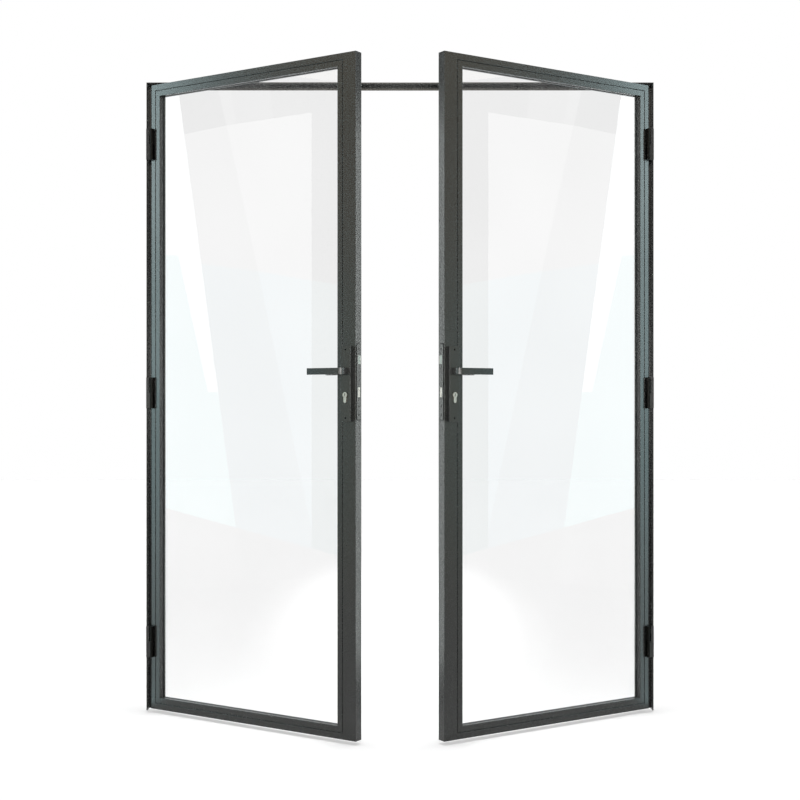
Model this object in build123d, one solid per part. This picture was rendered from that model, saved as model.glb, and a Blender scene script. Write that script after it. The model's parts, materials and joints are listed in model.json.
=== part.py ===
from build123d import *
import os

os.makedirs("parts", exist_ok=True)

# Leaf, and how far it stands open
LEAF_WIDTH = 840.0
LEAF_HEIGHT = 2100.0
LEAF_DEPTH = 32.0
OPEN_DEG = 33.0

# Steel angle frame round the pair of leaves
ANGLE_LEG = 4.0
STOP_WIDTH = 18.0
ANGLE_CHAMFER = 0.5
LEAF_GAP = 5.0
STOP_GAP = 7.0
FLOOR_GAP = 6.0
MEETING_GAP = 10.0

# Countersunk fixing holes through the angle
FIXING_R = 3.25
FIXING_HEAD_R = 6.0
FIXING_BACK = 18.0
JAMB_FIXING_END = 157.5
HEAD_FIXING_END = 354.0

# Leaf section: hollow body, a fin behind the glass, a bead in front of it with a shadow groove beside it
WALL = 2.0
BODY = 20.0
LOCK_BODY = 48.0
FIN = 20.0
FIN_DEPTH = 7.0
TUBE_EDGE_R = 1.0
BEAD_DEPTH = 10.0
BEAD_EDGE_R = 1.0
GROOVE_WIDTH = 1.6
GROOVE_DEPTH = 3.5
FRONT_GASKET = 5.0
BACK_GASKET = 2.0
GASKET_WIDTH = 14.0
GLASS_EDGE_GAP = 5.0

# Barrel hinges in front of the hinge stile: knuckle on the frame below, on the leaf above
PIVOT_IN = 10.0
PIVOT_OUT = 7.0
BARREL_R = 6.0
KNUCKLE = 52.0
KNUCKLE_GAP = 0.4
PIN_R = 3.5
PIN_CLEARANCE = 0.05
PIN_RISE = 40.0
PIN_END_GAP = 2.0
CARRIER_INSET = 0.5
CARRIER_WIDTH = 6.0
CARRIER_DEPTH = 8.0
WEB_GAP = 2.5
FOOT_WIDTH = 7.0
HINGE_FROM_FLOOR = 233.0
HINGE_FROM_TOP = 209.0

# Lock furniture, with heights above the floor
BACKSET = 28.0
SPINDLE_Z = 1132.0
CYLINDER_DROP = 72.0
SPINDLE_SIDE = 8.0
LOCK_SLOT_WIDTH = 22.0
LOCK_SLOT_MARGIN = 2.0
PLATE_WIDTH = 36.0
PLATE_DEPTH = 14.0
PLATE_BOTTOM = 979.0
PLATE_TOP = 1208.0
PLATE_CHAMFER = 0.8

# Lever: a flat bar bent through a right angle, nearer to the leaf behind it than in front
LEVER_TALL = 20.0
LEVER_THICK = 12.0
LEVER_OUT = 44.0
BACK_LEVER_OUT = 38.0
LEVER_REACH = 124.0
LEVER_BEND_R = 11.0
LEVER_INNER_R = 3.0
LEVER_CHAMFER = 0.6
LEVER_PLATE_GAP = 1.0
COLLAR_R = 9.0
COLLAR_CLEARANCE = 0.05
COLLAR_IN = 8.0

# Profile cylinder
CYLINDER_R = 8.5
CYLINDER_TALL = 33.0
CYLINDER_SLOT = 10.0
CYLINDER_OUT = 3.0
CYLINDER_FIT = 0.3
KEYWAY_WIDE = 2.2
KEYWAY_TALL = 8.5
KEYWAY_DEEP = 6.0

# Mortice lock in the meeting edge, with heights above the floor
FOREND_WIDTH = 24.0
FOREND_BOTTOM = 984.0
FOREND_TOP = 1216.0
FOREND_OUT = 2.0
FOREND_CORNER_R = 9.0
CASE_DEPTH = 16.0
CASE_IN = 43.0
CASE_BOTTOM = 1000.0
CASE_TOP = 1200.0
CASE_CLEARANCE = 1.0
CASE_SPINDLE_R = 7.0
BOLT_THICK = 10.8
BOLT_LENGTH = 14.0
LATCH_Z = 1167.0
LATCH_TALL = 27.0
DEAD_BOLT_Z = 1068.0
DEAD_BOLT_TALL = 30.0

SAME_POINT = 0.01
FRAME_WIDTH = 2 * (ANGLE_LEG + LEAF_GAP + LEAF_WIDTH) + MEETING_GAP
FRAME_HEIGHT = FLOOR_GAP + LEAF_HEIGHT + LEAF_GAP + ANGLE_LEG
FRAME_DEPTH = LEAF_DEPTH + STOP_GAP + ANGLE_LEG
FRONT_Y = -FRAME_DEPTH / 2
LEAF_X = ANGLE_LEG + LEAF_GAP
PIVOT_X = LEAF_X + PIVOT_IN
PIVOT_Y = FRONT_Y - PIVOT_OUT
SIGHT = BODY + FIN
LOCK_SIGHT = LOCK_BODY + FIN
FIN_FRONT = LEAF_DEPTH - FIN_DEPTH
GLASS_FRONT = BEAD_DEPTH + FRONT_GASKET
GLASS_BACK = FIN_FRONT - BACK_GASKET
SPINDLE_U = LEAF_WIDTH - BACKSET
SPINDLE_H = SPINDLE_Z - FLOOR_GAP
CYLINDER_H = SPINDLE_H - CYLINDER_DROP
CASE_FRONT = (LEAF_DEPTH - CASE_DEPTH) / 2
CASE_BACK = (LEAF_DEPTH + CASE_DEPTH) / 2
CORNER = (Align.MIN, Align.MIN, Align.MIN)
UPRIGHT = (Align.CENTER, Align.CENTER, Align.MIN)


def block(x0, x1, y0, y1, z0, z1):
    return Pos(x0, y0, z0) * Box(x1 - x0, y1 - y0, z1 - z0, align=CORNER)


def rod_through(radius, x, z, y0, y1):
    return Pos(x, (y0 + y1) / 2, z) * Rot(90, 0, 0) * Cylinder(radius, y1 - y0)


def outline(points):
    return make_face(Polyline(*points, close=True).edges())


def corners_at(face, picked):
    corners = []
    for vertex in face.vertices():
        for x, y in picked:
            if abs(vertex.X - x) < SAME_POINT and abs(vertex.Y - y) < SAME_POINT:
                corners.append(vertex)
    return corners


def rounded(face, radius, picked):
    return fillet(corners_at(face, picked), radius)


# An outline in width and height, carried from one depth to another
def upright_prism(face, depth0, depth1):
    plane = Plane(origin=(0, depth0, 0), x_dir=(1, 0, 0), z_dir=(0, -1, 0))
    return extrude(plane * face, depth0 - depth1)


# A section in width and depth, run upwards as a stile or sideways as a bottom rail
def stile_from(section, length):
    return extrude(section, length)


def rail_from(section, length):
    plane = Plane(origin=(length, 0, 0), x_dir=(0, 0, 1), z_dir=(-1, 0, 0))
    return extrude(plane * section, length)


def turned_over(shape, height):
    return Pos(0, 0, height) * mirror(shape, about=Plane.XY)


def turned_about(shape, width):
    return Pos(width, 0, 0) * mirror(shape, about=Plane.YZ)


# Frame angle, mitred at its two top corners
def frame_pieces():
    stop_front = FRAME_DEPTH - ANGLE_LEG
    toes = [(ANGLE_LEG, 0), (STOP_WIDTH, stop_front), (STOP_WIDTH, FRAME_DEPTH)]
    angle = outline([(0, 0), (ANGLE_LEG, 0), (ANGLE_LEG, stop_front)] + toes[1:] + [(0, FRAME_DEPTH)])
    section = chamfer(corners_at(angle, toes), ANGLE_CHAMFER)
    outer, inner = (0, FRAME_HEIGHT), (STOP_WIDTH, FRAME_HEIGHT - STOP_WIDTH)
    jamb_mitre = outline([(0, 0), (STOP_WIDTH, 0), inner, outer])
    head_mitre = outline([outer, inner, (FRAME_WIDTH - inner[0], inner[1]), (FRAME_WIDTH, FRAME_HEIGHT)])
    jamb = stile_from(section, FRAME_HEIGHT) & upright_prism(jamb_mitre, 0, FRAME_DEPTH)
    head = turned_over(rail_from(section, FRAME_WIDTH), FRAME_HEIGHT)
    head = head & upright_prism(head_mitre, 0, FRAME_DEPTH)

    sink = FIXING_HEAD_R - FIXING_R
    hole = Cylinder(FIXING_R, ANGLE_LEG, align=UPRIGHT)
    hole += Pos(0, 0, ANGLE_LEG - sink) * Cone(FIXING_R, FIXING_HEAD_R, sink, align=UPRIGHT)
    run = FRAME_HEIGHT - 2 * JAMB_FIXING_END
    for share in (0, 1 / 3, 2 / 3, 1):
        jamb -= Pos(0, FIXING_BACK, JAMB_FIXING_END + share * run) * Rot(0, 90, 0) * hole
    for x in (HEAD_FIXING_END, FRAME_WIDTH - HEAD_FIXING_END):
        head -= Pos(x, FIXING_BACK, FRAME_HEIGHT) * Rot(180, 0, 0) * hole
    return jamb, head


# Leaf tube: one hollow section with a body and a fin
def tube_section(body):
    edge = body + FIN
    shell = outline([(0, 0), (body, 0), (body, FIN_FRONT),
                     (edge, FIN_FRONT), (edge, LEAF_DEPTH), (0, LEAF_DEPTH)])
    shell = rounded(shell, TUBE_EDGE_R, [(0, 0), (body, 0), (edge, LEAF_DEPTH), (0, LEAF_DEPTH)])
    body_in, edge_in, fin_in, back_in = body - WALL, edge - WALL, FIN_FRONT + WALL, LEAF_DEPTH - WALL
    hollow = outline([(WALL, WALL), (body_in, WALL), (body_in, fin_in),
                      (edge_in, fin_in), (edge_in, back_in), (WALL, back_in)])
    return shell - hollow


# The four mitre outlines of a ring that starts some way in from the leaf's edges
def mitre_outlines(low_hinge, low_lock):
    high_hinge = [(x, LEAF_HEIGHT - z) for x, z in low_hinge]
    high_lock = [(x, LEAF_HEIGHT - z) for x, z in low_lock]
    hinge_side = outline(low_hinge + high_hinge[::-1])
    lock_side = outline(low_lock + high_lock[::-1])
    foot = outline(low_hinge + low_lock)
    return hinge_side, lock_side, foot


def cylinder_bar(round_gap, foot_gap, depth0, depth1):
    foot = CYLINDER_R - CYLINDER_TALL + CYLINDER_SLOT / 2 - foot_gap
    face = Circle(CYLINDER_R + round_gap) + Pos(0, foot / 2) * Rectangle(CYLINDER_SLOT, -foot)
    face += Pos(0, foot) * Circle(CYLINDER_SLOT / 2)
    return upright_prism(Pos(SPINDLE_U, CYLINDER_H) * face, depth0, depth1)


def cylinder_hole(depth0, depth1):
    return cylinder_bar(CYLINDER_FIT, CYLINDER_FIT, depth0, depth1)


def leaf_tubes():
    low_hinge = [(0, 0), (BODY, BODY), (SIGHT, SIGHT)]
    low_lock = [(LEAF_WIDTH - LOCK_SIGHT, SIGHT), (LEAF_WIDTH - LOCK_BODY, BODY), (LEAF_WIDTH, 0)]
    mitres = [upright_prism(face, 0, LEAF_DEPTH) for face in mitre_outlines(low_hinge, low_lock)]
    hinge_stile = stile_from(tube_section(BODY), LEAF_HEIGHT) & mitres[0]
    lock_stile = turned_about(stile_from(tube_section(LOCK_BODY), LEAF_HEIGHT), LEAF_WIDTH) & mitres[1]
    bottom_rail = rail_from(tube_section(BODY), LEAF_WIDTH) & mitres[2]

    slot_foot = CYLINDER_H + CYLINDER_R - CYLINDER_TALL - LOCK_SLOT_MARGIN
    slot_top = SPINDLE_H + LOCK_SLOT_WIDTH / 2
    lock_stile -= block(SPINDLE_U - LOCK_SLOT_WIDTH / 2, SPINDLE_U + LOCK_SLOT_WIDTH / 2, 0, LEAF_DEPTH,
                        slot_foot, slot_top)
    lock_stile -= block(LEAF_WIDTH - WALL, LEAF_WIDTH,
                        CASE_FRONT - CASE_CLEARANCE, CASE_BACK + CASE_CLEARANCE,
                        CASE_BOTTOM - FLOOR_GAP - CASE_CLEARANCE, CASE_TOP - FLOOR_GAP + CASE_CLEARANCE)
    return hinge_stile, lock_stile, bottom_rail, turned_over(bottom_rail, LEAF_HEIGHT)


# Four mitred beads in front of the glass, flush with the leaf
def glazing_beads():
    low_hinge = [(BODY, BODY), (SIGHT, SIGHT)]
    low_lock = [(LEAF_WIDTH - LOCK_SIGHT, SIGHT), (LEAF_WIDTH - LOCK_BODY, BODY)]
    mitres = [upright_prism(face, 0, BEAD_DEPTH) for face in mitre_outlines(low_hinge, low_lock)]
    groove = BODY + GROOVE_WIDTH
    front_edges = [(groove, 0), (SIGHT, 0)]
    root = [(SIGHT, BEAD_DEPTH), (BODY, BEAD_DEPTH), (BODY, GROOVE_DEPTH), (groove, GROOVE_DEPTH)]
    section = outline(front_edges + root)
    section = rounded(section, BEAD_EDGE_R, front_edges)
    upright = stile_from(section, LEAF_HEIGHT)
    foot = rail_from(section, LEAF_WIDTH) & mitres[2]
    lock_side = turned_about(upright, LEAF_WIDTH + BODY - LOCK_BODY) & mitres[1]
    return [upright & mitres[0], lock_side, foot, turned_over(foot, LEAF_HEIGHT)]


def gasket_ring(depth0, depth1):
    right = LEAF_WIDTH - LOCK_SIGHT
    top = LEAF_HEIGHT - SIGHT
    ring = block(SIGHT - GASKET_WIDTH, right + GASKET_WIDTH, depth0, depth1,
                 SIGHT - GASKET_WIDTH, top + GASKET_WIDTH)
    return ring - block(SIGHT, right, depth0, depth1, SIGHT, top)


def glass_pane():
    edge = BODY + GLASS_EDGE_GAP
    right = LEAF_WIDTH - LOCK_BODY - GLASS_EDGE_GAP
    return block(edge, right, GLASS_FRONT, GLASS_BACK, edge, LEAF_HEIGHT - edge)


# Lock: both bolts are drawn in, level with the forend
def bolt(middle, tall):
    end = LEAF_WIDTH + FOREND_OUT
    return block(end - BOLT_LENGTH, end, (LEAF_DEPTH - BOLT_THICK) / 2, (LEAF_DEPTH + BOLT_THICK) / 2,
                 middle - FLOOR_GAP - tall / 2, middle - FLOOR_GAP + tall / 2)


def mortice_lock(bolts):
    middle = (FOREND_BOTTOM + FOREND_TOP) / 2 - FLOOR_GAP
    plane = Plane(origin=(LEAF_WIDTH, LEAF_DEPTH / 2, middle), x_dir=(0, 1, 0), z_dir=(1, 0, 0))
    forend = RectangleRounded(FOREND_WIDTH, FOREND_TOP - FOREND_BOTTOM, FOREND_CORNER_R)
    lock = extrude(plane * forend, FOREND_OUT)
    lock += block(LEAF_WIDTH - CASE_IN, LEAF_WIDTH, CASE_FRONT, CASE_BACK,
                  CASE_BOTTOM - FLOOR_GAP, CASE_TOP - FLOOR_GAP)
    lock -= rod_through(CASE_SPINDLE_R, SPINDLE_U, SPINDLE_H, CASE_FRONT, CASE_BACK)
    lock -= cylinder_hole(CASE_FRONT, CASE_BACK)
    for piece in bolts:
        lock -= piece
    return lock


def profile_cylinder():
    front = -PLATE_DEPTH - CYLINDER_OUT
    back = LEAF_DEPTH - front
    cylinder = cylinder_bar(0, 0, front, back)
    for depth0, depth1 in ((front, front + KEYWAY_DEEP), (back - KEYWAY_DEEP, back)):
        cylinder -= block(SPINDLE_U - KEYWAY_WIDE / 2, SPINDLE_U + KEYWAY_WIDE / 2, depth0, depth1,
                          CYLINDER_H - KEYWAY_TALL / 2, CYLINDER_H + KEYWAY_TALL / 2)
    return cylinder


def front_plate():
    half = PLATE_WIDTH / 2
    plate = block(SPINDLE_U - half, SPINDLE_U + half, -PLATE_DEPTH, 0,
                  PLATE_BOTTOM - FLOOR_GAP, PLATE_TOP - FLOOR_GAP)
    plate = chamfer(plate.faces().sort_by(Axis.Y)[0].edges(), PLATE_CHAMFER)
    plate -= rod_through(COLLAR_R + COLLAR_CLEARANCE, SPINDLE_U, SPINDLE_H, -PLATE_DEPTH, 0)
    return plate - cylinder_hole(-PLATE_DEPTH, 0)


def front_lever(out):
    half = LEVER_THICK / 2
    tip = SPINDLE_U - LEVER_REACH
    neck_end = -PLATE_DEPTH - LEVER_PLATE_GAP
    grip_back = LEVER_THICK - out
    outer_bend = (SPINDLE_U + half, -out)
    inner_bend = (SPINDLE_U - half, grip_back)
    neck = [(SPINDLE_U + half, neck_end), (SPINDLE_U - half, neck_end)]
    bar = outline([(tip, -out), outer_bend] + neck + [inner_bend, (tip, grip_back)])
    bar = rounded(bar, LEVER_BEND_R, [outer_bend])
    bar = rounded(bar, LEVER_INNER_R, [inner_bend])
    lever = extrude(Pos(0, 0, SPINDLE_H - LEVER_TALL / 2) * bar, LEVER_TALL)
    flats = lever.faces().sort_by(Axis.Z)
    lever = chamfer(flats[0].edges() + flats[-1].edges(), LEVER_CHAMFER)
    return lever + rod_through(COLLAR_R, SPINDLE_U, SPINDLE_H, neck_end, COLLAR_IN - PLATE_DEPTH)


def spindle_bar():
    half = SPINDLE_SIDE / 2
    end = COLLAR_IN - PLATE_DEPTH
    return block(SPINDLE_U - half, SPINDLE_U + half, end, LEAF_DEPTH - end,
                 SPINDLE_H - half, SPINDLE_H + half)


def to_back(shape):
    return Pos(0, LEAF_DEPTH, 0) * mirror(shape, about=Plane.XZ)


# Hinges are drawn on the closed leaf, in the frame's own place
def frame_knuckle(split):
    foot = split - KNUCKLE
    front = FRONT_Y - CARRIER_DEPTH
    barrel = Pos(PIVOT_X, PIVOT_Y, foot) * Cylinder(BARREL_R, KNUCKLE, align=UPRIGHT)
    pin = Pos(PIVOT_X, PIVOT_Y, split) * Cylinder(PIN_R, PIN_RISE, align=UPRIGHT)
    carrier = block(CARRIER_INSET, CARRIER_INSET + CARRIER_WIDTH, front, FRONT_Y, foot, split + KNUCKLE)
    web = block(CARRIER_INSET, PIVOT_X, front, FRONT_Y - WEB_GAP, foot, split)
    return barrel + pin + carrier + web


def leaf_knuckle(split):
    foot = split + KNUCKLE_GAP
    top = split + KNUCKLE
    barrel = Pos(PIVOT_X, PIVOT_Y, foot) * Cylinder(BARREL_R, top - foot, align=UPRIGHT)
    weld = block(PIVOT_X - FOOT_WIDTH / 2, PIVOT_X + FOOT_WIDTH / 2, PIVOT_Y, FRONT_Y, foot, top)
    bore = Cylinder(PIN_R + PIN_CLEARANCE, PIN_RISE + PIN_END_GAP, align=UPRIGHT)
    bore = Pos(PIVOT_X, PIVOT_Y, foot) * bore
    return barrel + weld - bore


# Placing: the left leaf turned open round its pivot, the right side mirrored from it
swing = Pos(PIVOT_X, PIVOT_Y, 0) * Rot(0, 0, -OPEN_DEG) * Pos(-PIVOT_X, -PIVOT_Y, 0)
on_frame = Pos(0, FRONT_Y, 0)
on_leaf = swing * Pos(LEAF_X, FRONT_Y, FLOOR_GAP)
middle_plane = Plane(origin=(FRAME_WIDTH / 2, 0, 0), z_dir=(1, 0, 0))


def save(name, solids):
    export_step(solids[0] if len(solids) == 1 else Compound(children=solids), f"parts/{name}.step")


def save_pair(name, place, shapes):
    left = [(place * shape).solids()[0] for shape in shapes]
    save(f"left_{name}", left)
    save(f"right_{name}", [mirror(solid, about=middle_plane) for solid in left])


jamb, head = frame_pieces()
save_pair("jamb", on_frame, [jamb])
save("head", (on_frame * head).solids())

hinge_bottom = HINGE_FROM_FLOOR
hinge_top = FRAME_HEIGHT - HINGE_FROM_TOP
splits = (hinge_bottom, (hinge_bottom + hinge_top) / 2, hinge_top)
save_pair("frame_hinges", Pos(0, 0, 0), [frame_knuckle(split) for split in splits])
save_pair("leaf_hinges", swing, [leaf_knuckle(split) for split in splits])

for name, tube in zip(("hinge_stile", "lock_stile", "bottom_rail", "top_rail"), leaf_tubes()):
    save_pair(name, on_leaf, [tube])
save_pair("glass", on_leaf, [glass_pane()])
save_pair("glazing_beads", on_leaf, glazing_beads())
gaskets = [gasket_ring(BEAD_DEPTH, GLASS_FRONT), gasket_ring(GLASS_BACK, FIN_FRONT)]
save_pair("glazing_gaskets", on_leaf, gaskets)

latch_bolt = bolt(LATCH_Z, LATCH_TALL)
dead_bolt = bolt(DEAD_BOLT_Z, DEAD_BOLT_TALL)
save_pair("latch_bolt", on_leaf, [latch_bolt])
save_pair("dead_bolt", on_leaf, [dead_bolt])
save_pair("mortice_lock", on_leaf, [mortice_lock([latch_bolt, dead_bolt])])
save_pair("cylinder", on_leaf, [profile_cylinder()])

plate = front_plate()
save_pair("front_plate", on_leaf, [plate])
save_pair("back_plate", on_leaf, [to_back(plate)])
save_pair("front_lever", on_leaf, [front_lever(LEVER_OUT)])
save_pair("back_lever", on_leaf, [to_back(front_lever(BACK_LEVER_OUT))])
save_pair("spindle", on_leaf, [spindle_bar()])
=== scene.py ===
import json
import math
import bmesh
import bpy
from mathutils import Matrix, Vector


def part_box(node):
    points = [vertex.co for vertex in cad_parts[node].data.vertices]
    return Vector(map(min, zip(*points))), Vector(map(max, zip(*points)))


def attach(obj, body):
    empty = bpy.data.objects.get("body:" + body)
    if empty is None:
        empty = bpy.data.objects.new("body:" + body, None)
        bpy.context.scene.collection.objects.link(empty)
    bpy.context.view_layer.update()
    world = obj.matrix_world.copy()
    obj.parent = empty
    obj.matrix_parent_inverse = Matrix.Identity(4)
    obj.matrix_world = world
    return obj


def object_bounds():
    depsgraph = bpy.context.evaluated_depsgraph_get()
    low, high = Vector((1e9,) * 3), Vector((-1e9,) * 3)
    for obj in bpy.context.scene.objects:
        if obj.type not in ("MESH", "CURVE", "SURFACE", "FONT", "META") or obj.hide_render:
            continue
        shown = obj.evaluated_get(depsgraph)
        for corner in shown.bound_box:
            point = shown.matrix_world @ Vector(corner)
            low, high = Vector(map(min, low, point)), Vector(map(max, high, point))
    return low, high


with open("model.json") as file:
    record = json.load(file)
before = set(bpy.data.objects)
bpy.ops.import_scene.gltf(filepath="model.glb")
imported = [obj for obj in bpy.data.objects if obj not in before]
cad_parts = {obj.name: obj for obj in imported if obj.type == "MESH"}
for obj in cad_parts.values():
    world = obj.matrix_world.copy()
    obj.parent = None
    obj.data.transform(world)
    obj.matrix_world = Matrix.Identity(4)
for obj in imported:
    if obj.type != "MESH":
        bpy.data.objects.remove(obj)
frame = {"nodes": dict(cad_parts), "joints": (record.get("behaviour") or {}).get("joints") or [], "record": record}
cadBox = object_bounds()
nodes = frame["nodes"]
record = frame["record"]
sides = ("left", "right")
mm = 0.001
scene = bpy.context.scene
width = cadBox[1].x - cadBox[0].x
print("frame loaded:", len(nodes), "solids")


def hexColour(code):  # sRGB hex to linear, with alpha
    parts = [int(code[i:i + 2], 16) / 255 for i in (1, 3, 5)]
    return [p / 12.92 if p <= 0.04045 else ((p + 0.055) / 1.055) ** 2.4 for p in parts] + [1.0]


def addNode(tree, kind, inputs=None, **settings):
    made = tree.nodes.new("ShaderNode" + kind)
    for name, value in settings.items():
        setattr(made, name, value)
    for key, value in (inputs or {}).items():
        if isinstance(value, bpy.types.NodeSocket):
            tree.links.new(value, made.inputs[key])
        else:
            made.inputs[key].default_value = value
    return made


def newMaterial(name):
    material = bpy.data.materials.new(name)
    material.use_nodes = True
    tree = material.node_tree
    return material, tree, tree.nodes["Principled BSDF"]


# Polyester powder, sprayed on steel and baked: a dull, finely pebbled dark grey with a soft sheen
powderCoat = {
    "dark": "#171816", "light": "#232522", "roughness": 0.26, "roughSpread": 0.06,
    "grainMm": 3.2,  # real pebbles are near 0.4 mm, drawn coarser so that they show
    "cloudMm": 160.0, "cloudShare": 0.10, "bumpMm": 0.03, "ior": 1.5}

# Stoving enamel on the bent-bar levers and their plates: a little darker than the powder
# and flowed out smooth, so edges catch narrow glints
stovedEnamel = {
    "dark": "#121311", "light": "#1d1e1c", "roughness": 0.22, "roughSpread": 0.04, "grainMm": 3.2,
    "cloudMm": 90.0, "cloudShare": 0.4, "bumpMm": 0.008, "ior": 1.55}

# Noise keeps near its middle, so colours and roughness are spread over these spans of it
colourSpan = (0.32, 0.68)
roughSpan = (0.3, 0.7)


def makeCoat(name, finish):
    material, tree, shader = newMaterial(name)
    place = addNode(tree, "TexCoord").outputs["Object"]
    grain = addNode(tree, "TexNoise", {"Vector": place, "Scale": 1000 / finish["grainMm"], "Detail": 3.0})
    cloud = addNode(tree, "TexNoise", {"Vector": place, "Scale": 1000 / finish["cloudMm"], "Detail": 2.0})
    blend = addNode(tree, "Mix", {"Factor": finish["cloudShare"], "A": grain.outputs["Fac"],
                                  "B": cloud.outputs["Fac"]})
    ramp = addNode(tree, "ValToRGB", {"Fac": blend.outputs["Result"]})
    ramp.color_ramp.elements[0].position = colourSpan[0]
    ramp.color_ramp.elements[0].color = hexColour(finish["dark"])
    ramp.color_ramp.elements[1].position = colourSpan[1]
    ramp.color_ramp.elements[1].color = hexColour(finish["light"])
    dull = addNode(tree, "MapRange", {"Value": blend.outputs["Result"],
                                      "From Min": roughSpan[0], "From Max": roughSpan[1],
                                      "To Min": finish["roughness"] - finish["roughSpread"] / 2,
                                      "To Max": finish["roughness"] + finish["roughSpread"] / 2})
    bump = addNode(tree, "Bump", {"Height": grain.outputs["Fac"], "Distance": finish["bumpMm"] * mm})
    tree.links.new(ramp.outputs["Color"], shader.inputs["Base Color"])
    tree.links.new(dull.outputs["Result"], shader.inputs["Roughness"])
    tree.links.new(bump.outputs["Normal"], shader.inputs["Normal"])
    shader.inputs["IOR"].default_value = finish["ior"]
    return material


# Steel turned on a lathe and blackened in hot oil: near black, smooth, with a narrow bright glint
blackSteel = {"dark": "#060606", "light": "#0e0e0e", "roughness": 0.36, "turnMm": 1.6, "acrossScale": 60.0,
              "bumpMm": 0.01}


def makeBlackSteel():
    material, tree, shader = newMaterial("oil_blackened_steel")
    place = addNode(tree, "TexCoord").outputs["Object"]
    across, along = blackSteel["acrossScale"], 1000 / blackSteel["turnMm"]
    squash = addNode(tree, "Mapping", {"Vector": place, "Scale": (across, across, along)})
    turning = addNode(tree, "TexNoise", {"Vector": squash.outputs["Vector"], "Scale": 1.0, "Detail": 2.0})
    ramp = addNode(tree, "ValToRGB", {"Fac": turning.outputs["Fac"]})
    ramp.color_ramp.elements[0].color = hexColour(blackSteel["dark"])
    ramp.color_ramp.elements[1].color = hexColour(blackSteel["light"])
    bump = addNode(tree, "Bump", {"Height": turning.outputs["Fac"], "Distance": blackSteel["bumpMm"] * mm})
    tree.links.new(ramp.outputs["Color"], shader.inputs["Base Color"])
    tree.links.new(bump.outputs["Normal"], shader.inputs["Normal"])
    shader.inputs["Metallic"].default_value = 1.0
    shader.inputs["Roughness"].default_value = blackSteel["roughness"]
    return material


# Hinges: the carriers sprayed with the frame and leaf, the turned barrels oil black where the coat was masked;
# that near black on the barrels is partly painted shade on the knuckles
hingeSteel = {"dark": "#171816", "light": "#232522", "barrel": "#161615", "roughness": 0.32,
              "reach": 6.4 * mm, "grainMm": 3.2, "bumpMm": 0.03}


def makeHingeSteel():
    material, tree, shader = newMaterial("part_coated_hinge_steel")
    place = addNode(tree, "TexCoord").outputs["Object"]
    pin = Vector(next(j for j in frame["joints"] if j["name"] == "left_leaf_swing")["pos_m"])
    middle = (cadBox[0].x + cadBox[1].x) / 2
    spot = addNode(tree, "SeparateXYZ", {0: place})
    fromMiddle = addNode(tree, "Math", {0: spot.outputs["X"], 1: middle}, operation="SUBTRACT")
    outward = addNode(tree, "Math", {0: fromMiddle.outputs[0]}, operation="ABSOLUTE")  # same on both sides
    fromPin = addNode(tree, "CombineXYZ", {"X": outward.outputs[0], "Y": spot.outputs["Y"]})
    away = addNode(tree, "VectorMath", {0: fromPin.outputs[0], 1: (middle - pin.x, pin.y, 0)},
                   operation="DISTANCE")
    # painted shade: near-black metal on the barrels, within reach of the pin axis
    darkBarrelShade = addNode(tree, "Math", {0: away.outputs["Value"], 1: hingeSteel["reach"]}, operation="LESS_THAN")
    grain = addNode(tree, "TexNoise", {"Vector": place, "Scale": 1000 / hingeSteel["grainMm"], "Detail": 3.0})
    ramp = addNode(tree, "ValToRGB", {"Fac": grain.outputs["Fac"]})
    ramp.color_ramp.elements[0].position = colourSpan[0]
    ramp.color_ramp.elements[0].color = hexColour(hingeSteel["dark"])
    ramp.color_ramp.elements[1].position = colourSpan[1]
    ramp.color_ramp.elements[1].color = hexColour(hingeSteel["light"])
    colour = addNode(tree, "Mix", {"Factor": darkBarrelShade.outputs[0], 6: ramp.outputs["Color"],
                                   7: hexColour(hingeSteel["barrel"])}, data_type="RGBA")
    bump = addNode(tree, "Bump", {"Height": grain.outputs["Fac"], "Distance": hingeSteel["bumpMm"] * mm})
    tree.links.new(colour.outputs[2], shader.inputs["Base Color"])
    tree.links.new(darkBarrelShade.outputs[0], shader.inputs["Metallic"])
    tree.links.new(bump.outputs["Normal"], shader.inputs["Normal"])
    shader.inputs["Roughness"].default_value = hingeSteel["roughness"]
    return material


# Two sheets of float glass, laminated under pressure: clear and almost free of tint, with long
# shallow waves that bend reflections
floatGlass = {"clear": "#f4f4f4", "deep": "#f0f0f0", "ior": 1.52, "waveMm": 280.0, "bumpMm": 0.02}


def makeFloatGlass():
    material, tree, shader = newMaterial("laminated_float_glass")
    place = addNode(tree, "TexCoord").outputs["Object"]
    wave = addNode(tree, "TexNoise", {"Vector": place, "Scale": 1000 / floatGlass["waveMm"], "Detail": 0.0})
    ramp = addNode(tree, "ValToRGB", {"Fac": wave.outputs["Fac"]})
    ramp.color_ramp.elements[0].color = hexColour(floatGlass["deep"])
    ramp.color_ramp.elements[1].color = hexColour(floatGlass["clear"])
    bump = addNode(tree, "Bump", {"Height": wave.outputs["Fac"], "Distance": floatGlass["bumpMm"] * mm})
    tree.links.new(ramp.outputs["Color"], shader.inputs["Base Color"])
    tree.links.new(bump.outputs["Normal"], shader.inputs["Normal"])
    shader.inputs["Roughness"].default_value = 0.0
    shader.inputs["Transmission Weight"].default_value = 1.0
    shader.inputs["IOR"].default_value = floatGlass["ior"]
    rays = addNode(tree, "LightPath")
    passing = addNode(tree, "BsdfTransparent", {"Color": hexColour(floatGlass["clear"])})
    lit = addNode(tree, "MixShader", {0: rays.outputs["Is Shadow Ray"], 1: shader.outputs["BSDF"],
                                      2: passing.outputs["BSDF"]})  # lamps shine through the pane
    tree.links.new(lit.outputs["Shader"], tree.nodes["Material Output"].inputs["Surface"])
    return material


# EPDM rubber, extruded: dull black with a fine grain
gasketRubber = {"dark": "#0c0c0c", "light": "#1c1c1b", "roughness": 0.62, "grainMm": 1.2, "bumpMm": 0.04}


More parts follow.
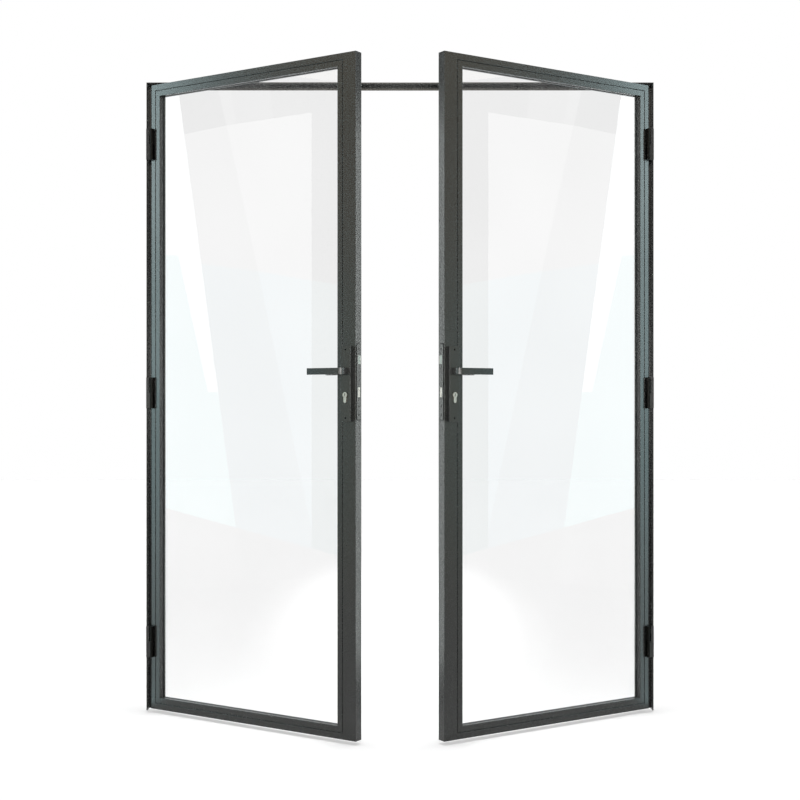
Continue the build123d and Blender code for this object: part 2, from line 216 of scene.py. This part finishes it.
def makeGasketRubber():
    material, tree, shader = newMaterial("extruded_epdm_rubber")
    place = addNode(tree, "TexCoord").outputs["Object"]
    grain = addNode(tree, "TexNoise", {"Vector": place, "Scale": 1000 / gasketRubber["grainMm"],
                                       "Detail": 1.0})
    ramp = addNode(tree, "ValToRGB", {"Fac": grain.outputs["Fac"]})
    ramp.color_ramp.elements[0].color = hexColour(gasketRubber["dark"])
    ramp.color_ramp.elements[1].color = hexColour(gasketRubber["light"])
    bump = addNode(tree, "Bump", {"Height": grain.outputs["Fac"], "Distance": gasketRubber["bumpMm"] * mm})
    tree.links.new(ramp.outputs["Color"], shader.inputs["Base Color"])
    tree.links.new(bump.outputs["Normal"], shader.inputs["Normal"])
    shader.inputs["Roughness"].default_value = gasketRubber["roughness"]
    return material


# Brass, brushed and nickel plated: pale warm grey metal with fine upright brush lines
satinNickel = {"dark": "#7c7a75", "light": "#a8a5a0", "roughness": 0.34, "brushMm": 0.5, "runMm": 14.0,
               "bumpMm": 0.01}


def makeSatinNickel():
    material, tree, shader = newMaterial("satin_nickel_plate")
    place = addNode(tree, "TexCoord").outputs["Object"]
    across, along = 1000 / satinNickel["brushMm"], 1000 / satinNickel["runMm"]
    stretch = addNode(tree, "Mapping", {"Vector": place, "Scale": (across, across, along)})
    brush = addNode(tree, "TexNoise", {"Vector": stretch.outputs["Vector"], "Scale": 1.0, "Detail": 2.0})
    ramp = addNode(tree, "ValToRGB", {"Fac": brush.outputs["Fac"]})
    ramp.color_ramp.elements[0].color = hexColour(satinNickel["dark"])
    ramp.color_ramp.elements[1].color = hexColour(satinNickel["light"])
    bump = addNode(tree, "Bump", {"Height": brush.outputs["Fac"], "Distance": satinNickel["bumpMm"] * mm})
    tree.links.new(ramp.outputs["Color"], shader.inputs["Base Color"])
    tree.links.new(bump.outputs["Normal"], shader.inputs["Normal"])
    shader.inputs["Metallic"].default_value = 1.0
    shader.inputs["Roughness"].default_value = satinNickel["roughness"]
    return material


# Cold drawn square bar, left bare: dull grey metal with fine scattered marks
drawnSteel = {"dark": "#6d6c6a", "light": "#95938f", "roughness": 0.42, "markMm": 0.8, "bumpMm": 0.02}


def makeDrawnSteel():
    material, tree, shader = newMaterial("cold_drawn_steel")
    place = addNode(tree, "TexCoord").outputs["Object"]
    mark = addNode(tree, "TexNoise", {"Vector": place, "Scale": 1000 / drawnSteel["markMm"], "Detail": 2.0})
    ramp = addNode(tree, "ValToRGB", {"Fac": mark.outputs["Fac"]})
    ramp.color_ramp.elements[0].color = hexColour(drawnSteel["dark"])
    ramp.color_ramp.elements[1].color = hexColour(drawnSteel["light"])
    bump = addNode(tree, "Bump", {"Height": mark.outputs["Fac"], "Distance": drawnSteel["bumpMm"] * mm})
    tree.links.new(ramp.outputs["Color"], shader.inputs["Base Color"])
    tree.links.new(bump.outputs["Normal"], shader.inputs["Normal"])
    shader.inputs["Metallic"].default_value = 1.0
    shader.inputs["Roughness"].default_value = drawnSteel["roughness"]
    return material


coat = makeCoat("fine_texture_powder_coat", powderCoat)
enamel = makeCoat("stoved_enamel", stovedEnamel)
black = makeBlackSteel()
hinge = makeHingeSteel()
glass = makeFloatGlass()
rubber = makeGasketRubber()
nickel = makeSatinNickel()
steel = makeDrawnSteel()
finishes = {"coated_steel": coat, "clear_glass": glass, "black_gasket": rubber, "satin_nickel": nickel,
            "bare_steel": steel}
for part in record["subparts"]:
    node = nodes[part["node"]]
    finish = finishes[part["material_slot"]]
    if part["node"].endswith("_hinges"):
        finish = hinge
    elif part["node"].endswith(("_lever", "_plate")):
        finish = enamel
    for slot in node.material_slots:
        slot.material = finish
print("solids finished")

# Sizes of the leaf that the small pieces of the lock share, with the backset from spindle to meeting edge
leaf = {"depth": 32.0 * mm, "backset": 28.0 * mm, "forendOut": 2.0 * mm}
up = Vector((0, 0, 1))


def leafAxes(side):  # the lever's joint sits on the leaf's front face and is square to it
    joint = next(j for j in frame["joints"] if j["name"] == side + "_lever_turn")
    axis = Vector(joint["axis"])
    out = axis if axis.y < 0 else -axis
    toLock = Vector((-out.y, out.x, 0)) * (1 if side == "left" else -1)
    return Vector(joint["pos_m"]), toLock, out


def finishPiece(name, bm, body, material):
    bmesh.ops.recalc_face_normals(bm, faces=bm.faces)
    mesh = bpy.data.meshes.new(name)
    bm.to_mesh(mesh)
    bm.free()
    mesh.materials.append(material)
    piece = bpy.data.objects.new(name, mesh)
    scene.collection.objects.link(piece)
    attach(piece, body)
    return piece


def placeRings(bm, rings, origin, across, up, out):  # loops of points from rings of (angle, radius, height)
    loops = []
    for ring in rings:
        loops.append([bm.verts.new(origin + across * (r * math.cos(a)) + up * (r * math.sin(a)) + out * h)
                      for a, r, h in ring])
    return loops


def joinLoops(bm, loops):  # a skin between neighbouring loops
    for one, two in zip(loops, loops[1:]):
        for i in range(len(one)):
            k = (i + 1) % len(one)
            bm.faces.new((one[i], one[k], two[k], two[i]))


def closeLoops(bm, loops):  # the same skin with both ends closed
    joinLoops(bm, loops)
    bm.faces.new(loops[0])
    bm.faces.new(loops[-1])


def roundRing(radius, height, steps):
    return [(2 * math.pi * i / steps, radius, height) for i in range(steps)]


def hexRing(radius, height, steps):  # radius to the corners
    ring = []
    for i in range(steps):
        a = 2 * math.pi * i / steps
        turn = (a % (math.pi / 3)) - math.pi / 6
        ring.append((a, radius * math.cos(math.pi / 6) / math.cos(turn), height))
    return ring


# Low socket screw: a lens head with a six-sided recess
socketScrew = {
    "radius": 2.6 * mm, "rim": 0.25 * mm, "rise": 0.6 * mm, "socket": 1.4 * mm, "floor": 0.15 * mm,
    "sunk": 0.6 * mm, "steps": 36,
    "crown": 0.72, "crownRise": 0.9,  # the lens bends here, as shares of radius and rise
    "lip": 1.25, "lipRise": 0.94, "taper": 0.96}  # recess edge as shares of socket and rise


def addSocketScrew(bm, origin, across, up, out, size=1.0):
    steps, rise = socketScrew["steps"], socketScrew["rise"]
    radius, socket = socketScrew["radius"] * size, socketScrew["socket"] * size
    rings = [roundRing(radius, -socketScrew["sunk"], steps), roundRing(radius, socketScrew["rim"], steps),
             roundRing(radius * socketScrew["crown"], rise * socketScrew["crownRise"], steps),
             roundRing(socket * socketScrew["lip"], rise, steps),
             hexRing(socket, rise * socketScrew["lipRise"], steps),
             hexRing(socket * socketScrew["taper"], socketScrew["floor"], steps)]
    closeLoops(bm, placeRings(bm, rings, origin, across, up, out))


# Plate screws stand in from the ends of each plate, forend screws one above and two below the bolts
lockScrews = {"plateEnd": 10.5 * mm, "plateOut": 14.0 * mm,
              "forendHeights": (1200.0 * mm, 1025.0 * mm, 998.0 * mm), "forendSize": 1.1}
for side in sides:
    spot, toLock, out = leafAxes(side)
    for face, direction, step in (("front", out, 0.0), ("back", -out, leaf["depth"])):
        low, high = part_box(f"{side}_{face}_plate")
        bm = bmesh.new()
        for z in (low.z + lockScrews["plateEnd"], high.z - lockScrews["plateEnd"]):
            origin = spot - out * step + direction * lockScrews["plateOut"]
            origin.z = z
            addSocketScrew(bm, origin, toLock, up, direction)
        finishPiece(f"{side}_{face}_plate_screws", bm, f"{side}_leaf", black)
    bm = bmesh.new()
    for z in lockScrews["forendHeights"]:
        origin = spot + toLock * (leaf["backset"] + leaf["forendOut"]) - out * leaf["depth"] / 2
        origin.z = z
        addSocketScrew(bm, origin, out, up, toLock, size=lockScrews["forendSize"])
    finishPiece(f"{side}_forend_screws", bm, f"{side}_leaf", black)
print("lock screws made")

# Countersunk screws that fill the fixing holes of the angle frame, heads level with its inner face
frameScrew = {
    "thickness": 4.0 * mm, "head": 5.8 * mm, "shank": 3.1 * mm, "sink": 2.7 * mm, "socket": 2.0 * mm,
    "recess": 1.6 * mm, "low": 0.05 * mm, "steps": 36,
    "lip": 1.2, "lipDrop": 0.1 * mm, "taper": 0.95}  # recess edge, lip and taper as shares of socket


def addFrameScrew(bm, origin, across, up, inward):
    steps, shank, socket = frameScrew["steps"], frameScrew["shank"], frameScrew["socket"]
    top = frameScrew["thickness"] - frameScrew["low"]
    rings = [roundRing(shank, 0.0, steps), roundRing(shank, top - frameScrew["sink"], steps),
             roundRing(frameScrew["head"], top, steps), roundRing(socket * frameScrew["lip"], top, steps),
             hexRing(socket, top - frameScrew["lipDrop"], steps),
             hexRing(socket * frameScrew["taper"], top - frameScrew["recess"], steps)]
    closeLoops(bm, placeRings(bm, rings, origin, across, up, inward))


for mount in record["mounts"]:
    if mount["kind"] != "bolt_pattern":
        continue
    outward = Vector(mount["axis"])
    along = up if abs(outward.x) > 0.5 else Vector((1, 0, 0))
    spacing = max(mount["dims"].get("spacing_x_mm", 0), mount["dims"].get("spacing_y_mm", 0)) * mm
    bm = bmesh.new()
    for end in (-0.5, 0.5):
        addFrameScrew(bm, Vector(mount["pos_m"]) + along * spacing * end, Vector((0, 1, 0)), along, -outward)
    finishPiece(mount["name"].replace("fixings", "screws"), bm, "door_frame", black)
print("frame screws made")

# Turning plug of the lock cylinder: a thin disc round the keyway, on both faces
plugDisc = {"radius": 6.3 * mm, "rise": 0.5 * mm, "edge": 0.25 * mm, "slotWide": 2.2 * mm,
            "slotTall": 8.5 * mm, "drop": 72.0 * mm, "out": 17.0 * mm, "steps": 48}


def slotRing(height):
    ring = []
    wide, tall = plugDisc["slotWide"] / 2, plugDisc["slotTall"] / 2
    for i in range(plugDisc["steps"]):
        a = 2 * math.pi * (i + 0.5) / plugDisc["steps"]  # half a step on, so no angle is square
        ring.append((a, min(wide / abs(math.cos(a)), tall / abs(math.sin(a))), height))
    return ring


def addPlug(bm, origin, across, up, out):
    radius, rise, edge, steps = plugDisc["radius"], plugDisc["rise"], plugDisc["edge"], plugDisc["steps"]
    rings = [slotRing(0.0), roundRing(radius, 0.0, steps), roundRing(radius, rise - edge, steps),
             roundRing(radius - edge, rise, steps), slotRing(rise)]
    loops = placeRings(bm, rings, origin, across, up, out)
    joinLoops(bm, loops + loops[:1])  # back down the keyway


for side in sides:
    spot, toLock, out = leafAxes(side)
    bm = bmesh.new()
    for direction, step in ((out, 0.0), (-out, leaf["depth"])):
        origin = spot - out * step + direction * plugDisc["out"] - up * plugDisc["drop"]
        addPlug(bm, origin, toLock, up, direction)
    finishPiece(f"{side}_cylinder_plugs", bm, f"{side}_leaf", nickel)
print("cylinder plugs made")

# Bevelled latch nose, nearly drawn in: a little proud of the forend on the side away from the leaf's front
latchNose = {"proud": 2.2 * mm, "low": 0.2 * mm, "flat": 2.6 * mm, "sunk": 0.4 * mm, "thick": 10.6 * mm,
             "tall": 26.6 * mm, "edge": 0.5 * mm}
for side in sides:
    spot, toLock, out = leafAxes(side)
    low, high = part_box(f"{side}_latch_bolt")
    base = spot + toLock * (leaf["backset"] + leaf["forendOut"]) - out * leaf["depth"] / 2
    base.z = (low.z + high.z) / 2
    half, tall, edge = latchNose["thick"] / 2, latchNose["tall"] / 2, latchNose["edge"]
    profile = [(-half, -latchNose["sunk"]), (half, -latchNose["sunk"]), (half, latchNose["low"]),
               (latchNose["flat"] - half, latchNose["proud"]), (-half, latchNose["proud"])]
    loops = []
    bm = bmesh.new()
    for z, shrink in ((-tall, edge), (edge - tall, 0.0), (tall - edge, 0.0), (tall, edge)):
        loops.append([bm.verts.new(base + out * d + toLock * (h - shrink if h > 0 else h) + up * z)
                      for d, h in profile])
    closeLoops(bm, loops)
    finishPiece(f"{side}_latch_nose", bm, f"{side}_leaf", nickel)
print("latch noses made")

# Painted shade round the forend: a thin black lip that stands in for the shadow in the gap of its milled slot,
# following the plate's round ends
forendShadeLip = {"wide": 24.0 * mm, "low": 984.0 * mm, "high": 1216.0 * mm, "corner": 4.0 * mm, "lip": 2.4 * mm,
              "under": 0.2 * mm, "rise": 0.35 * mm, "sunk": 0.3 * mm, "steps": 8}


def shadeLipRing(grow, height):
    half, corner = forendShadeLip["wide"] / 2 + grow, forendShadeLip["corner"] + grow
    tall = (forendShadeLip["high"] - forendShadeLip["low"]) / 2 + grow
    ring = []
    for turn, (sx, sz) in enumerate(((1, 1), (-1, 1), (-1, -1), (1, -1))):
        for i in range(forendShadeLip["steps"] + 1):
            a = math.pi / 2 * (turn + i / forendShadeLip["steps"])
            ring.append((sx * (half - corner) + corner * math.cos(a),
                         sz * (tall - corner) + corner * math.sin(a), height))
    return ring


for side in sides:
    spot, toLock, out = leafAxes(side)
    base = spot + toLock * leaf["backset"] - out * leaf["depth"] / 2
    base.z = (forendShadeLip["low"] + forendShadeLip["high"]) / 2
    bm = bmesh.new()
    loops = []
    lip, under, rise, sunk = (forendShadeLip[key] for key in ("lip", "under", "rise", "sunk"))
    for ring in (shadeLipRing(-under, -sunk), shadeLipRing(lip, -sunk), shadeLipRing(lip, 0.0),
                 shadeLipRing(lip - rise, rise), shadeLipRing(-under, rise)):
        loops.append([bm.verts.new(base + out * d + up * z + toLock * h) for d, z, h in ring])
    joinLoops(bm, loops + loops[:1])
    # painted shade: black rubber laid where the gap round the forend is in shadow
    finishPiece(f"{side}_forend_shade_lip", bm, f"{side}_leaf", rubber)
print("forend seams made")

# White studio: what the camera, metal and glass see is white, and the object is lit from the sides,
# softer in front
studio = {"front": 0.8, "back": 1.4, "white": "#ffffff", "bandFull": 0.1, "bandEnd": 0.5}
scene.world = bpy.data.worlds.new("studio")
scene.world.use_nodes = True
sky = scene.world.node_tree
rays = addNode(sky, "LightPath").outputs
seen = addNode(sky, "Math", {0: rays["Is Camera Ray"], 1: rays["Is Glossy Ray"]}, operation="MAXIMUM")
seen = addNode(sky, "Math", {0: seen.outputs[0], 1: rays["Is Transmission Ray"]}, operation="MAXIMUM")
towards = addNode(sky, "SeparateXYZ", {0: addNode(sky, "TexCoord").outputs["Generated"]})
level = addNode(sky, "MapRange", {"Value": towards.outputs["Y"], "From Min": -1.0, "From Max": 1.0,
                                  "To Min": studio["front"], "To Max": studio["back"]})
band = addNode(sky, "MapRange", {"Value": towards.outputs["Z"], "From Min": studio["bandFull"],
                                 "From Max": studio["bandEnd"], "To Min": 1.0, "To Max": 0.0})
level = addNode(sky, "Math", {0: level.outputs["Result"], 1: band.outputs["Result"]}, operation="MULTIPLY")
soft = addNode(sky, "Background", {"Color": hexColour(studio["white"]), "Strength": level.outputs[0]})
plain = addNode(sky, "Background", {"Color": hexColour(studio["white"]), "Strength": 1.0})
both = addNode(sky, "MixShader", {0: seen.outputs[0], 1: soft.outputs[0], 2: plain.outputs[0]})
sky.links.new(both.outputs[0], sky.nodes["World Output"].inputs["Surface"])


def addStage(name, corners, material):
    middle = sum((Vector(c) for c in corners), Vector()) / len(corners)
    mesh = bpy.data.meshes.new(name)
    mesh.from_pydata([Vector(c) - middle for c in corners], [], [tuple(range(len(corners)))])
    mesh.materials.append(material)
    thing = bpy.data.objects.new(name, mesh)
    thing.location = middle
    scene.collection.objects.link(thing)
    return thing


# Pale floor, a little under the frame's foot as the shadow in the photo shows, with a pool of light
# behind the door
floor = {"z": -6 * mm, "half": 14.0, "colour": "#d2d2d2", "glow": 0.485, "pool": 0.22, "poolY": 2.3,
         "poolWide": 0.64, "poolLong": 2.6, "poolFull": 0.55, "poolEnd": 1.15}
floorPaint, tree, shader = newMaterial("matt_pale_floor")
shader.inputs["Base Color"].default_value = hexColour(floor["colour"])
shader.inputs["Roughness"].default_value = 1.0
shader.inputs["Specular IOR Level"].default_value = 0.0
rays = addNode(tree, "LightPath").outputs
seen = addNode(tree, "Math", {0: rays["Is Camera Ray"], 1: rays["Is Glossy Ray"]}, operation="MAXIMUM")
seen = addNode(tree, "Math", {0: seen.outputs[0], 1: rays["Is Transmission Ray"]}, operation="MAXIMUM")
oval = (1 / floor["poolWide"], 1 / floor["poolLong"], 0)
poolSpot = (width / 2 * oval[0], floor["poolY"] * oval[1], 0)
place = addNode(tree, "TexCoord").outputs["Object"]
squash = addNode(tree, "VectorMath", {0: place, 1: oval}, operation="MULTIPLY")
away = addNode(tree, "VectorMath", {0: squash.outputs[0], 1: poolSpot}, operation="DISTANCE")
# painted pool of light: the floor's own glow is raised in an oval behind the door and fades out to its edge
pool = addNode(tree, "MapRange", {"Value": away.outputs["Value"], "From Min": floor["poolFull"],
                                  "From Max": floor["poolEnd"], "To Min": floor["glow"] + floor["pool"],
                                  "To Max": floor["glow"]}, interpolation_type="SMOOTHSTEP")
level = addNode(tree, "Math", {0: seen.outputs[0], 1: pool.outputs["Result"]}, operation="MULTIPLY")
glow = addNode(tree, "Emission", {"Strength": level.outputs[0]})
both = addNode(tree, "AddShader", {0: shader.outputs["BSDF"], 1: glow.outputs[0]})
tree.links.new(both.outputs[0], tree.nodes["Material Output"].inputs["Surface"])
half, z = floor["half"], floor["z"]
addStage("floor", [(-half, -half, z), (half, -half, z), (half, half, z), (-half, half, z)], floorPaint)

# One small sun straight above, for the narrow shadow under each leaf
overhead = {"strength": 2.2, "angle": 10.0, "z": 5.0}
lamp = bpy.data.objects.new("overhead", bpy.data.lights.new("overhead", "SUN"))
lamp.data.energy = overhead["strength"]
lamp.data.angle = math.radians(overhead["angle"])
lamp.location = (0, 0, overhead["z"])
scene.collection.objects.link(lamp)

# Where the studio cards stand, in metres: two walls left of the door, two rows in front of it,
# the floor, and the usual top edge
cardRoom = {"wall": -3.0, "farWall": -8.5, "front": -3.5, "farFront": -7.0, "floor": -0.004, "top": 4.2}


def upright(outline, x=cardRoom["wall"]):  # a card along the studio's side, from (depth, height) corners
    return [(x, y, z) for y, z in outline]


def facing(outline, y=cardRoom["front"]):  # a card in front of the door, from (width, height) corners
    return [(x, y, z) for x, z in outline]


def laid(outline):  # a card on the floor, from (width, depth) corners
    return [(x, y, cardRoom["floor"]) for x, y in outline]


# Cards left of the door, mirrored to the right, seen only as reflections in the glass, metal and coat
top, centre = cardRoom["top"], width / 2
cards = {
    # the panes mirror a pale wall with a blue band and a dark top
    "paleNear": ("#ffffff", 1.32, upright([(-1.02, 1.83), (-1.36, 1.80), (-1.17, 2.63), (-0.92, 2.56)])),
    "paleFar": ("#ffffff", 1.85, upright([(-1.36, 1.80), (-1.69, 1.76), (-1.69, 2.75), (-1.17, 2.63)])),
    "blueNear": ("#c4e8f2", 1.80, upright([(-1.225, 0.32), (-1.69, 0.18), (-1.69, 0.29), (-1.36, 1.80),
                                           (-1.02, 1.83)])),
    "blueFar": ("#c8eaf4", 2.45, upright([(-1.69, 0.29), (-1.69, 1.76), (-1.36, 1.80)])),
    "foot": ("#ffffff", 1.0, upright([(-1.27, 0.0), (-1.69, 0.0), (-1.69, 0.18), (-1.225, 0.32)])),
    "darkNear": ("#ffffff", 0.04, upright([(-0.92, 2.56), (-1.17, 2.63), (-1.09, 2.95), (-0.80, top),
                                           (-0.70, top)])),
    "darkLine": ("#ffffff", 0.75, upright([(-1.17, 2.63), (-1.23, 2.645), (-1.17, 2.95), (-1.09, 2.95)])),
    "darkMiddle": ("#ffffff", 0.45, upright([(-1.23, 2.645), (-1.45, 2.695), (-1.42, 2.95), (-1.17, 2.95)])),
    "darkFar": ("#ffffff", 0.10, upright([(-1.45, 2.695), (-1.69, 2.75), (-1.69, 2.95), (-1.42, 2.95)])),
    "paleTop": ("#fff6e6", 1.5, upright([(-1.09, 2.95), (-1.91, 2.95), (-1.91, top), (-0.80, top)])),
    "greyTop": ("#f2f0e8", 0.05, upright([(-1.69, 1.76), (-1.91, 1.73), (-1.91, 2.95), (-1.69, 2.95)])),
    "greyBlue": ("#80e0e0", 0.9, upright([(-1.69, 0.18), (-1.85, 0.13), (-1.85, 1.74), (-1.69, 1.76)])),
    "greyEdge": ("#b0c8ff", 0.3, upright([(-1.85, 0.13), (-1.91, 0.11), (-1.91, 1.73), (-1.85, 1.74)])),
    # the lock stiles mirror the warm pair
    "warmNear": ("#fff0d4", 1.5, upright([(-1.91, 0.0), (-2.25, 0.0), (-2.25, top), (-1.91, top)])),
    "warmFar": ("#fff0d4", 1.1, upright([(-2.25, 0.0), (-3.6, 0.0), (-3.6, top), (-2.25, top)])),
    # bright slanted strip in the panes
    "slant": ("#f4fbfc", 4.0, upright([(-1.06, 1.1), (-1.12, 1.1), (-0.87, 2.95), (-0.80, 2.95),
                                       (-0.80, 2.25)])),
    "slantTop": ("#fdfdff", 3.4, upright([(-0.80, 2.25), (-0.887, 1.87), (-0.80, 1.87)])),
    "slantBlue": ("#c8f2f4", 3.1, upright([(-0.80, 1.87), (-0.887, 1.87), (-1.06, 1.1), (-1.12, 1.1),
                                           (-1.225, 0.32), (-0.80, 0.45)])),
    "slantFoot": ("#ffffff", 1.2, upright([(-0.80, 0.0), (-1.27, 0.0), (-1.225, 0.32), (-0.80, 0.45)])),
    # the hinge stiles mirror the soft boxes and the lit floor
    "softBoxTop": ("#d3eef1", 13.0, upright([(-0.25, 2.0), (-0.80, 2.0), (-0.80, top), (-0.25, top)])),
    "softBox": ("#d3eef1", 9.5, upright([(-0.25, 1.1), (-0.80, 1.1), (-0.80, 2.0), (-0.25, 2.0)])),
    "softBoxFoot": ("#d3eef1", 6.0, upright([(-0.25, 0.0), (-0.80, 0.0), (-0.80, 1.1), (-0.25, 1.1)])),
    "hingeFoot": ("#d3eef1", 4.0, laid([(-0.1, 0.0), (-0.1, -0.07), (-2.9, -0.72), (-2.9, 0.3)])),
    # the meeting edges mirror these, through or by way of the other leaf's pane
    "shade": ("#ffffff", 0.3, upright([(0.5, 0.0), (5.0, 0.0), (5.0, 7.0), (0.5, 7.0)],
                                      cardRoom["farWall"])),
    "edgeFar": ("#f4fcfa", 9.6, upright([(2.7, 0.0), (4.8, 0.0), (4.8, top), (2.7, top)])),
    "edgeFloor": ("#f4fcfa", 6.4, laid([(-0.1, 0.1), (-3.0, 2.0), (-3.0, 4.0), (-0.1, 0.6)])),
    # mirrored by the levers' bends, the jambs and the head
    "leverNear": ("#fdfefa", 17.0, facing([(-0.6, 0.9), (width + 0.6, 0.9), (width + 0.6, 1.5),
                                           (-0.6, 1.5)])),
    "leverFar": ("#fdfefa", 18.0, facing([(-2.9, 0.9), (-0.9, 0.9), (-0.9, 1.5), (-2.9, 1.5)])),
    "frontShade": ("#ffffff", 0.25, facing([(-3.2, 0.0), (-0.35, 0.0), (-0.35, 4.8), (-3.2, 4.8)],
                                           cardRoom["farFront"])),
    "headFar": ("#fff8ec", 5.0, facing([(0.0, 2.35), (centre, 2.35), (centre, 3.5), (0.0, 3.5)]))}
softCards = {"names": ("leverNear", "leverFar"), "fadeFrom": 0.3}  # these fade out to their edges
middleCards = ("leverNear",)  # across the door's middle, so not mirrored
doorMiddle = Vector((centre, 0, 1))
for name, (tint, level, corners) in cards.items():
    paint, tree, shader = newMaterial("studio_" + name)
    glow = addNode(tree, "Emission", {"Color": hexColour(tint), "Strength": level})
    clear = addNode(tree, "BsdfTransparent")
    back = addNode(tree, "NewGeometry").outputs["Backfacing"]
    lit = addNode(tree, "MixShader", {0: back, 1: glow.outputs[0], 2: clear.outputs[0]})
    if name in softCards["names"]:
        wide = max(c[0] for c in corners) - min(c[0] for c in corners)
        tall = max(c[2] for c in corners) - min(c[2] for c in corners)
        place = addNode(tree, "TexCoord").outputs["Object"]
        squash = addNode(tree, "VectorMath", {0: place, 1: (2 / wide, 0, 2 / tall)}, operation="MULTIPLY")
        away = addNode(tree, "VectorMath", {0: squash.outputs[0]}, operation="LENGTH")
        fade = addNode(tree, "MapRange", {"Value": away.outputs["Value"], "From Min": softCards["fadeFrom"],
                                          "From Max": 1.0}, interpolation_type="SMOOTHSTEP")
        lit = addNode(tree, "MixShader", {0: fade.outputs["Result"], 1: lit.outputs[0], 2: clear.outputs[0]})
    tree.links.new(lit.outputs[0], tree.nodes["Material Output"].inputs["Surface"])
    for side in sides[:1] if name in middleCards else sides:
        spots = [Vector((x if side == "left" else width - x, y, z)) for x, y, z in corners]
        if (spots[1] - spots[0]).cross(spots[2] - spots[1]).dot(doorMiddle - spots[0]) < 0:
            spots.reverse()  # the bright side faces the door
        card = addStage(f"{side}_{name}", spots, paint)
        card.visible_camera = card.visible_diffuse = card.visible_transmission = card.visible_shadow = False

# Level camera on the middle of the frame, as far off and as high as the photo was taken from
view = {"away": 4611.4 * mm, "height": 1034.1 * mm, "focal": 61.61, "sensor": 36.0, "dropPx": 3.39,
        "imagePx": 800, "far": 60.0}
camera = bpy.data.objects.new("camera", bpy.data.cameras.new("camera"))
scene.collection.objects.link(camera)
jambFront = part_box("left_jamb")[0].y
camera.location = (centre, jambFront - view["away"], view["height"])
camera.rotation_euler = (math.pi / 2, 0, 0)
camera.data.sensor_width = view["sensor"]
camera.data.lens = view["focal"]
camera.data.shift_y = view["dropPx"] / view["imagePx"]
camera.data.clip_end = view["far"]
scene.camera = camera
scene.view_settings.view_transform = "Standard"
print("studio ready")
